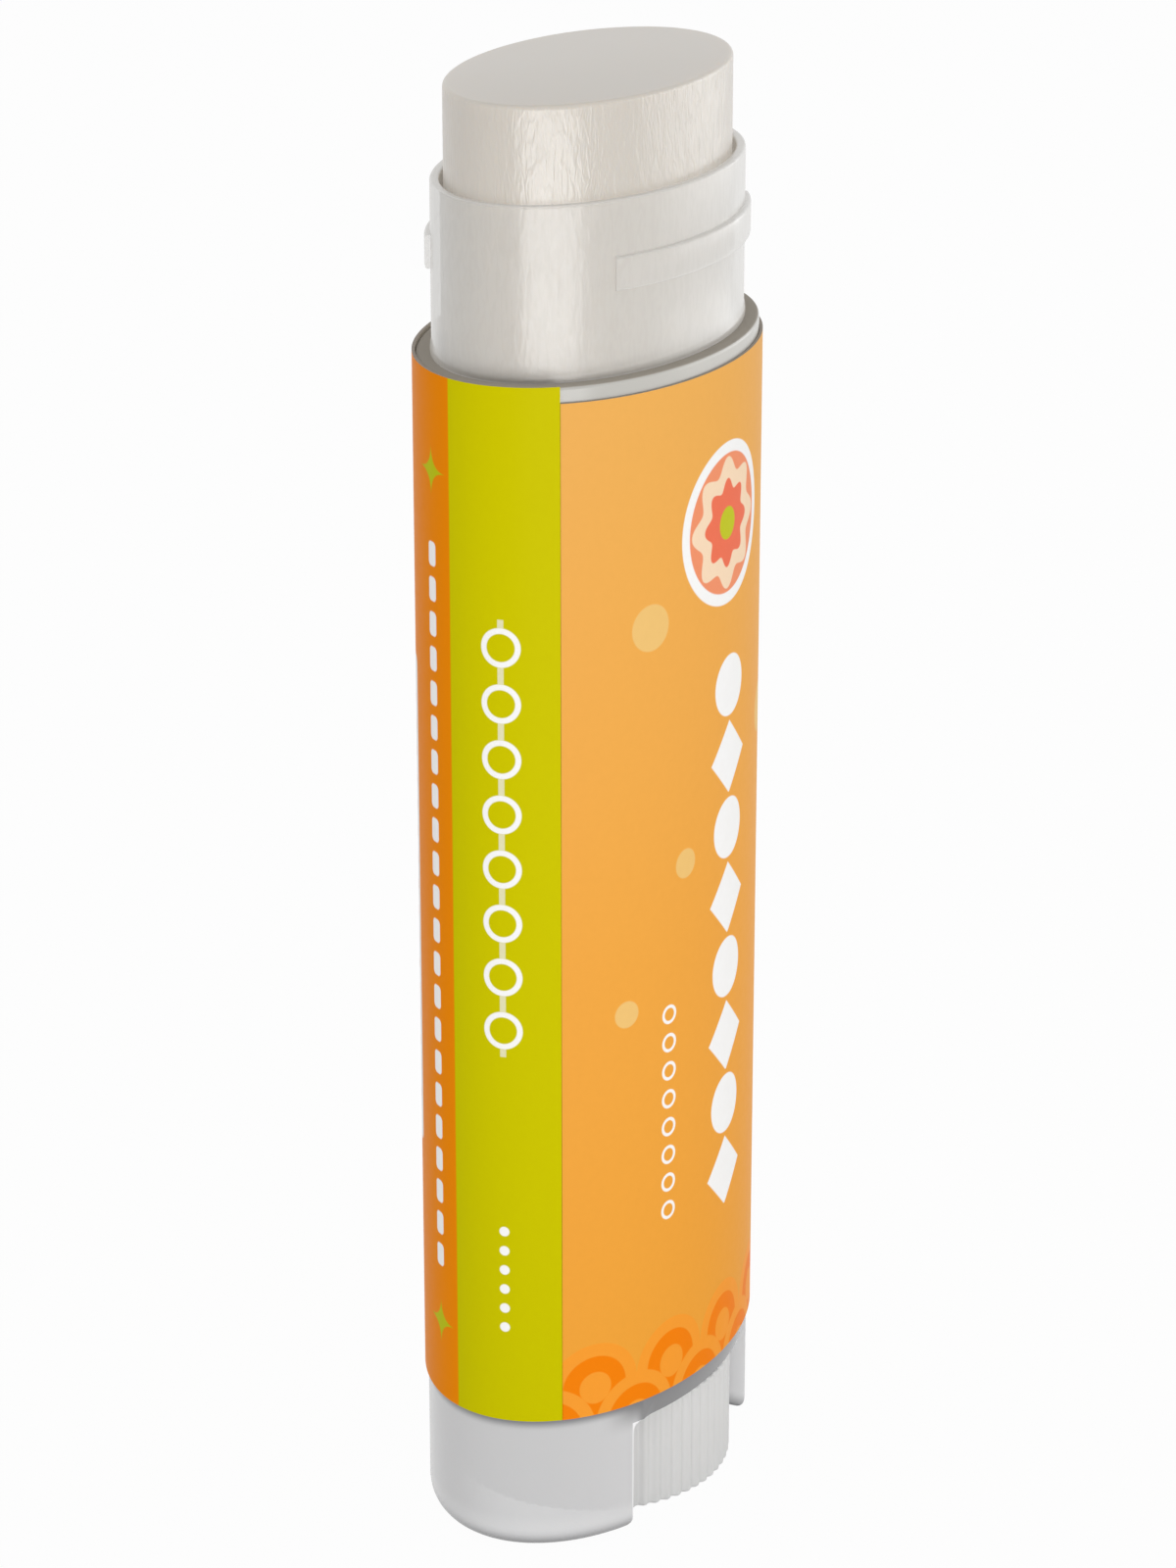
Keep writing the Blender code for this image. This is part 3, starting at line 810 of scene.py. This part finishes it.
# %% Colour of the tube
def milky_colour(board, hairs):
    height, thin = board.height, board.thin
    painted_shade_neck_foot = board.within(height, SHOULDER, SHOULDER + 0.8 * MM)
    painted_shade_neck_foot = painted_shade_neck_foot * (1 - board.step(height, SHOULDER + 0.1 * MM, SHOULDER + 0.8 * MM))
    painted_light_low_band = 1 - board.step(height, 1.0 * MM, 1.7 * MM)
    painted_shadow_under_label = board.step(height, LABEL_FOOT - 0.55 * MM, LABEL_FOOT - 0.08 * MM)
    painted_shadow_under_label = painted_shadow_under_label * (height < LABEL_FOOT)
    painted_shade_below_shoulder = board.within(height, SHOULDER - 2.0 * MM, SHOULDER)
    foot = 1 - board.step(height, -0.2 * MM, 0.95 * MM)
    strands = board.step(hairs, 0.42, 0.62) * thin
    shades = (
        (thin, paint(224, 222, 218)),
        (strands * 0.12, paint(196, 192, 186)),
        # Painted shade: the neck darkens just above the ledge and fades out 0.8 mm up.
        (painted_shade_neck_foot * 0.3, paint(192, 183, 170)),
        # Painted shade: the wall in the 2 mm below the shoulder is a darker warm grey.
        (painted_shade_below_shoulder, paint(198, 196, 190)),
        # Painted light: the lowest part of the skirts, up to about 1.7 mm, is a little lighter.
        (painted_light_low_band * 0.25, paint(230, 230, 231)),
        # Painted shade: the wall over each window is dark grey.
        (board.lip(), paint(128, 128, 129)),
        # Painted light: the windows' cut edges are lighter, though little light reaches them.
        (board.cut_edge, paint(244, 244, 245)),
        # Painted shadow: a dark band on the wall just below the label's foot.
        (painted_shadow_under_label * 0.9, paint(126, 126, 129)),
        # Painted shade: the foot's rounding darkens towards the bottom edge.
        (foot, paint(92, 92, 94)),
        # Painted shade: the level ledge at the shoulder is a dark taupe.
        (board.ledge, paint(163, 156, 145)),
    )
    colour = paint(206, 206, 207)
    for mask, shade_colour in shades:
        colour = board.mix(mask, colour, shade_colour)
    return colour


# %% [markdown]
# ## Frosted plastic for the tube
# Share, colour and gloss come together in one shader. The neck has the most gloss, from a coat that
# thins out at a slant so that its sides stay milky. The ledge is matt. The surface has the fine grain of
# a mould, and on the neck a breath of the balm's hairlines.

# %% Frosted plastic
HAIR_STRETCH = (1, 1, 0.24)


def hairlines(board):
    """Fine noise, stretched along the height: the lines that shrinkage left on the balm."""
    return board.noise(board.place(HAIR_STRETCH), 4800.0, detail=1.5, wobble=0.9)


def frosted_plastic():
    board = TubeBoard("frosted_plastic")
    thin, ledge = board.thin, board.ledge
    grain = board.noise(board.here, 5200.0, detail=2.0)
    cloud = board.noise(board.here, 260.0)
    hairs = hairlines(board)
    return board.principled(
        {
            "Base Color": milky_colour(board, hairs),
            "Roughness": 0.2 + 0.08 * cloud + 0.6 * ledge,
            "IOR": 1.5,
            "Specular IOR Level": 0.4,
            "Coat Weight": (0.15 + 0.5 * thin) * (1 - board.slant) * (1 - ledge),
            "Coat Roughness": 0.2,
            "Alpha": tube_alpha(board),
            "Normal": board.bump(hairs * thin, 0.05, 0.03 * MM, board.bump(grain, 0.12, 0.02 * MM)),
        }
    )


wear(tube, frosted_plastic())

# %% [markdown]
# ## White plastic for the dial and the carrier
# The same plastic, thicker and with less light through it, looks white. A little roughness variation keeps
# the ribs from looking like paper.


# %% White plastic
def white_plastic():
    board = Board(bpy.data.materials.new("white_plastic"))
    grain = board.noise(board.place(), 4200.0, detail=2.0)
    cloud = board.noise(board.place(), 420.0)
    return board.principled(
        {
            "Base Color": board.mix(cloud, paint(223, 223, 222), paint(230, 230, 229)),
            "Roughness": board.between(cloud, 0.34, 0.44),
            "IOR": 1.49,
            "Transmission Weight": 0.15,
            "Normal": board.bump(grain, 0.15, 0.02 * MM),
        }
    )


white = white_plastic()
wear(dial, white)
wear(carrier, white)

# %% [markdown]
# ## Wax for the balm
# The balm is a pearly cream. It shrank from the mould as it set, so its side carries upright hairlines and
# a faint waviness that breaks up the highlight. Both are noise that is stretched along the height: fine
# for the hairlines, coarse for the waves. The level top has neither.

# %% Balm wax
WAVE_STRETCH = (1, 1, 0.5)


def balm_wax():
    board = Board(bpy.data.materials.new("balm_wax"))
    side = 1 - board.step(abs(board.upward()), 0.4, 0.8)
    waves = board.noise(board.place(WAVE_STRETCH), 1000.0, detail=1.0)
    cloud = board.noise(board.place(), 190.0)
    fine = board.bump(hairlines(board) * side, 1.0, 0.04 * MM)
    return board.principled(
        {
            "Base Color": board.mix(cloud, paint(203, 196, 186), paint(209, 202, 192)),
            "Roughness": board.between(cloud, 0.27, 0.34),
            "IOR": 1.52,
            "Specular IOR Level": 1.0,
            "Subsurface Weight": 0.25,
            "Subsurface Radius": (1.2 * MM, 0.9 * MM, 0.6 * MM),
            "Subsurface Scale": 1.0,
            "Normal": board.bump(waves * side, 1.0, 0.045 * MM, fine),
        }
    )


wear(balm, balm_wax())

# %% [markdown]
# ## Printing on film
# The print is drawn with distances. For a disc, the distance to its edge is the distance to its centre
# less its radius, and a soft step at zero turns that into ink. Repeating a motif costs nothing: the height
# is taken modulo the pitch. All sizes are in millimetres on the flat label.

# %% Print helpers
WHITE_INK = paint(250, 250, 249)


class Print(Board):
    """A board whose x and y count millimetres from the middle of the label's foot."""

    def __init__(self, name, width, height):
        super().__init__(bpy.data.materials.new(name))
        self.wide = width / MM
        self.tall = height / MM
        across, up, _ = self.split(self.add("ShaderNodeUVMap", {"uv_map": "print"}))
        self.x = (across - 0.5) * self.wide
        self.y = up * self.tall

    def repeat(self, foot, pitch):
        """The height, counted from the middle of each repeat."""
        return (self.y - foot) % pitch - pitch / 2

    def ink(self, distance, blur=0.04):
        """1 inside the shape and 0 outside."""
        return 1 - self.step(distance, -blur, blur)

    def disc(self, x, y, radius):
        return (x * x + y * y).root() - radius

    def ring(self, x, y, radius, stroke):
        return abs(self.disc(x, y, radius)) - stroke / 2

    def diamond(self, x, y, size):
        return (abs(x) + abs(y)) * math.sqrt(0.5) - size

    def star(self, x, y, size):
        """A four-point sparkle: the square roots pull its sides in."""
        hair = 0.0001
        return (abs(x) + hair).root() + (abs(y) + hair).root() - math.sqrt(size)

    def bar(self, x, y, half_width, half_height, rounding=0.0):
        outside_x = (abs(x) - (half_width - rounding)).larger(0.0)
        outside_y = (abs(y) - (half_height - rounding)).larger(0.0)
        return (outside_x * outside_x + outside_y * outside_y).root() - rounding

    def ramp(self, stops):
        """A colour that changes up the label."""
        return self.add("ShaderNodeValToRGB", {"stops": stops}, {0: self.y / self.tall})

    def film(self, colour):
        """The printed film: satin, with a trace of grain."""
        grain = self.noise(self.place(), 3000.0)
        return self.principled(
            {
                "Base Color": self.mix(grain * 0.05, colour, paint(150, 90, 20)),
                "Roughness": self.between(grain, 0.34, 0.46),
                "Specular IOR Level": 0.02,
                "Normal": self.bump(grain, 0.08, 0.02 * MM),
            }
        )


# %% [markdown]
# ## The bare side of the film
# The ink lies on the outer face alone. The cut edges are bare, and so is the back, a hair of which shows
# above the shoulder on the far side. Both are grey-brown: the edges a dark taupe, as painted shade, and the
# back lighter, as painted light, because it faces a narrow gap that little light reaches.


# %% Label backing
def label_backing():
    board = Board(bpy.data.materials.new("label_backing"))
    fibres = board.noise(board.place(), 2600.0, detail=4.0)
    # Painted light on the back, and painted shade on the level edges.
    painted_light_back_tint = board.mix(fibres, paint(212, 203, 190), paint(222, 213, 200))
    painted_shade_edge_tint = board.mix(fibres, paint(156, 146, 135), paint(166, 156, 145))
    edge = abs(board.upward()) > 0.5
    return board.principled(
        {
            "Base Color": board.mix(edge, painted_light_back_tint, painted_shade_edge_tint),
            "Roughness": 0.6,
            "Specular IOR Level": 0.2,
        }
    )


# %% [markdown]
# ## The front label
# A soft orange deepens downwards, as in the photograph. Common ornaments of like colour and scale stand on
# it: a few pale dots, fish-scale arcs along the foot, a rosette badge, a column of white dots and diamonds
# and a row of beads. Each is a short function that lays its ink over the colour it is given.


# %% Front label: dots and scales
def pale_dots(board, colour):
    dots = ((-5.7, 35.2, 1.0), (-3.5, 24.3, 0.65), (4.9, 28.6, 1.1), (-6.9, 18.4, 0.6))
    for across, up, radius in dots:
        dot = board.ink(board.disc(board.x - across, board.y - up, radius))
        colour = board.mix(dot, colour, paint(240, 196, 120))
    return colour


def fish_scales(board, colour):
    """Two rows of discs within discs. The lower row is laid over the upper one."""
    pitch, rise, sink = 4.2, 1.9, 0.6
    light, dark = paint(248, 158, 52), paint(245, 130, 12)
    for row, shift in ((1, pitch / 2), (0, 0.0)):
        across = (board.x + shift) % pitch - pitch / 2
        up = board.y - rise * row + sink
        for radius, tint in ((2.1, light), (1.5, dark), (0.75, light)):
            colour = board.mix(board.ink(board.disc(across, up, radius)), colour, tint)
    return colour


# %% Front label: badge and columns
def rosette(board, colour):
    """Rings of eight petals: the radius swells with the cosine of eight times the angle."""
    petals = 8
    across = board.x + 0.4
    up = board.y - 38.4
    wave = (up.angle_over(across) * petals).cosine()
    from_centre = (across * across + up * up).root()
    colour = board.mix(board.ink(from_centre - 3.5), colour, WHITE_INK)
    colour = board.mix(board.ink(from_centre - 3.0), colour, paint(243, 150, 110))
    colour = board.mix(board.ink(from_centre - 2.55 - wave * 0.3), colour, paint(250, 222, 190))
    colour = board.mix(board.ink(from_centre - 1.7 - wave * 0.22), colour, paint(240, 118, 88))
    return board.mix(board.ink(from_centre - 0.7), colour, paint(196, 200, 40))


def dot_column(board, colour):
    """Dots and diamonds by turns."""
    foot, top, pitch = 7.2, 32.8, 6.4
    up = board.repeat(foot, pitch)
    dots = board.ink(board.disc(board.x, up - pitch / 4, 1.35))
    diamonds = board.ink(board.diamond(board.x, up + pitch / 4, 1.15))
    return board.mix(dots.larger(diamonds) * board.within(board.y, foot, top), colour, WHITE_INK)


def bead_row(board, colour):
    foot, top, pitch = 8.0, 18.4, 1.3
    beads = board.ink(board.ring(board.x + 4.5, board.repeat(foot, pitch), 0.36, 0.14), 0.03)
    return board.mix(beads * board.within(board.y, foot, top), colour, WHITE_INK)


# %% Front label: the whole print
def front_print():
    board = Print("front_label_print", front_width, front_height)
    foot, middle, top = paint(240, 163, 58), paint(241, 168, 70), paint(240, 178, 92)
    colour = board.ramp([(0.0, foot), (0.45, middle), (1.0, top)])
    for motif in (pale_dots, fish_scales, rosette, dot_column, bead_row):
        colour = motif(board, colour)
    return board.film(colour)


wear(front_label, front_print(), label_backing())

# %% [markdown]
# ## The back label
# A yellow-green band runs down each end of this label beside the seam, and the rest is a deeper orange.
# Each band has a chain of rings and a few dots, with dashes and sparkles beside it. The middle has
# staggered rows of dashes and a pale panel with a ladder of rungs.

# %% Back label: bands and what stands beside the seams
BAND_END_ANGLE = math.radians(165)
BAND_WIDTH = arc_length(BAND_END_ANGLE, SEAM_ANGLE) / MM
print("green band width in mm:", round(BAND_WIDTH, 2))


def from_seam(board):
    return board.wide / 2 - abs(board.x)


def green_bands(board, colour):
    green = board.ramp([(0.0, paint(200, 194, 0)), (1.0, paint(206, 198, 0))])
    return board.mix(board.ink(from_seam(board) - BAND_WIDTH), colour, green)


def ring_chain(board, colour):
    """Rings tied in a chain up the middle of each band."""
    foot, top, pitch = 17.0, 36.2, 2.4
    middle = from_seam(board) - BAND_WIDTH / 2
    links = board.ink(board.ring(middle, board.repeat(foot, pitch), 0.72, 0.24), 0.03)
    ties = board.ink(board.bar(middle, board.repeat(foot - pitch / 2, pitch), 0.12, 0.36), 0.03)
    return board.mix(links.larger(ties) * board.within(board.y, foot, top), colour, WHITE_INK)


def band_dots(board, colour):
    foot, top, pitch = 4.0, 9.4, 0.9
    middle = from_seam(board) - BAND_WIDTH / 2
    dots = board.ink(board.disc(middle, board.repeat(foot, pitch), 0.22), 0.03)
    return board.mix(dots * board.within(board.y, foot, top), colour, WHITE_INK)


def dash_column(board, colour):
    """A column of dashes beside each band, with a sparkle at either end."""
    foot, top, pitch = 6.0, 39.0, 1.5
    across = from_seam(board) - BAND_WIDTH - 1.3
    dashes = board.ink(board.bar(across, board.repeat(foot, pitch), 0.3, 0.52, 0.2))
    colour = board.mix(dashes * board.within(board.y, foot, top), colour, WHITE_INK)
    for star_height in (3.6, 41.8):
        sparkle = board.ink(board.star(across, board.y - star_height, 1.1), 0.06)
        colour = board.mix(sparkle, colour, paint(190, 196, 20))
    return colour


# %% Back label: the middle
def staggered_dashes(board, colour):
    """Rows of dashes a millimetre apart, each shifted from the last. Only whole dashes are printed."""
    left, right, foot, top = -7.0, 1.0, 7.9, 38.1
    pitch, stagger = 4.0, 2.7
    across = board.x - left
    shift = (across.floor() * stagger) % pitch
    up = (board.y + shift) % pitch - pitch / 2
    dashes = board.ink(board.bar(across % 1.0 - 0.5, up, 0.17, 1.7, 0.15))
    inside = board.within(board.x, left, right) * board.within(board.y - up, foot, top)
    return board.mix(dashes * inside, colour, WHITE_INK)


def rung_panel(board, colour):
    foot, top, pitch = 12.4, 31.6, 1.2
    across = board.x - 5.2
    panel = board.ink(board.bar(across, board.y - (foot + top) / 2, 2.4, 11.0, 0.4))
    rungs = board.ink(board.bar(across, board.repeat(foot, pitch), 1.7, 0.26, 0.2))
    colour = board.mix(panel, colour, WHITE_INK)
    return board.mix(rungs * board.within(board.y, foot, top), colour, paint(226, 128, 20))


# %% Back label: the whole print
def back_print():
    board = Print("back_label_print", back_width, back_height)
    colour = board.ramp([(0.0, paint(240, 138, 0)), (1.0, paint(238, 136, 0))])
    motifs = (green_bands, ring_chain, band_dots, dash_column, staggered_dashes, rung_panel)
    for motif in motifs:
        colour = motif(board, colour)
    return board.film(colour)


wear(back_label, back_print(), label_backing())

# %% [markdown]
# ## Tie the pieces to the frame
# Each piece takes the place of its CAD node and rides on the same body, so every pose moves it.

# %% Ride and replace
for piece, node, body in (
    (tube, "tube", "tube"),
    (front_label, "front_label", "tube"),
    (back_label, "back_label", "tube"),
    (dial, "dial_screw", "dial"),
    (carrier, "carrier", "stick"),
    (balm, "balm", "stick"),
):
    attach(piece, body)
    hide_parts(node)
    print(piece.name, "rides on", body)

# %% [markdown]
# ## A white studio
# The photograph stands on nothing but white. The floor and the world show white to the camera, and to
# gloss and clear plastic, through Light Path, while the light that they throw on the object stays plain.
# A little of the floor's own shading is left in, which keeps a faint shadow under the stick.

# %% Floor and world
WHITE_LIGHT = (1.0, 1.0, 1.0, 1.0)
FLOOR_GREY = (0.55, 0.55, 0.55, 1.0)
FLOOR_HALF_SIZE = 2.0
FLOOR_DROP = 0.02 * MM
FLOOR_GLOW_SHARE = 0.97
SKY_ON_OBJECT = 0.66


def seen_directly(board):
    """1 for rays of the camera, of gloss and through clear plastic, and 0 for the light on the object."""
    path = board.node("ShaderNodeLightPath").outputs
    camera_ray, gloss_ray = Signal(board, path["Is Camera Ray"]), Signal(board, path["Is Glossy Ray"])
    return camera_ray.larger(gloss_ray).larger(Signal(board, path["Is Transmission Ray"]))


def studio_floor():
    board = Board(bpy.data.materials.new("studio_floor"))
    share = seen_directly(board) * FLOOR_GLOW_SHARE
    plain = board.add("ShaderNodeBsdfDiffuse", None, {"Color": FLOOR_GREY})
    bright = board.add("ShaderNodeEmission", None, {"Color": WHITE_LIGHT, "Strength": 1.0})
    return board.finish(board.add("ShaderNodeMixShader", None, {0: share, 1: plain, 2: bright}))


def white_sky():
    board = Board(bpy.data.worlds.new("white_studio"))
    strength = board.between(seen_directly(board), SKY_ON_OBJECT, 1.0)
    sky = board.add("ShaderNodeBackground", None, {"Color": WHITE_LIGHT, "Strength": strength})
    return board.finish(sky, "ShaderNodeOutputWorld")


bm = bmesh.new()
bmesh.ops.create_grid(bm, x_segments=1, y_segments=1, size=FLOOR_HALF_SIZE)
bmesh.ops.translate(bm, verts=bm.verts, vec=(0, 0, -FLOOR_DROP))
mesh = bpy.data.meshes.new("floor")
bm.to_mesh(mesh)
bm.free()
floor = bpy.data.objects.new("floor", mesh)
bpy.context.scene.collection.objects.link(floor)
wear(floor, studio_floor())
bpy.context.scene.world = white_sky()

# %% [markdown]
# ## Soft lights
# A low soft panel near the camera draws the upright highlights on the balm and the neck. A weaker one
# further round lights the wide face, and a third lights the back without a reflection of its own. Each
# is given by how bright its face looks, and the power follows from its area. The panels stand upright and
# face the stick's axis. Distances are in metres.


# %% Lights
def soft_panel(name, azimuth, distance, height, width, tall, brightness):
    light = bpy.data.lights.new(name, "AREA")
    light.shape = "RECTANGLE"
    light.size = width
    light.size_y = tall
    light.energy = brightness * math.pi * width * tall
    panel = bpy.data.objects.new(name, light)
    bpy.context.scene.collection.objects.link(panel)
    angle = math.radians(azimuth)
    panel.location = (distance * math.cos(angle), distance * math.sin(angle), height)
    aim = Vector((-panel.location.x, -panel.location.y, 0))
    panel.rotation_euler = aim.to_track_quat("-Z", "Y").to_euler()
    panel.visible_camera = False
    print(name, "gives", round(light.energy * 1000, 1), "milliwatts")
    return panel


soft_panel("key_panel", 221.5, distance=0.15, height=0.0285, width=0.155, tall=0.055, brightness=4.1)
soft_panel("side_panel", 325, distance=0.30, height=0.085, width=0.28, tall=0.17, brightness=1.4)
fill = soft_panel("fill_panel", 120, distance=0.40, height=0.13, width=0.25, tall=0.25, brightness=1.2)
fill.visible_glossy = False

# %% [markdown]
# ## The camera
# The lens and the place, which is in metres, were fitted to the edge curves of the tube in the photograph.

# %% Camera
LENS_LENGTH = 106.2425
CAMERA_PLACE = (-0.16826, -0.07994, 0.101084)
CAMERA_LOOK = Vector((0.84672, 0.40272, -0.34768))
lens = bpy.data.cameras.new("camera")
lens.lens = LENS_LENGTH
lens.clip_start = 10 * MM
camera = bpy.data.objects.new("camera", lens)
bpy.context.scene.collection.objects.link(camera)
camera.location = CAMERA_PLACE
camera.rotation_euler = CAMERA_LOOK.to_track_quat("-Z", "Y").to_euler()
bpy.context.scene.camera = camera
bpy.context.scene.view_settings.view_transform = "Standard"
print("camera at", [round(value / MM, 1) for value in CAMERA_PLACE], "mm")
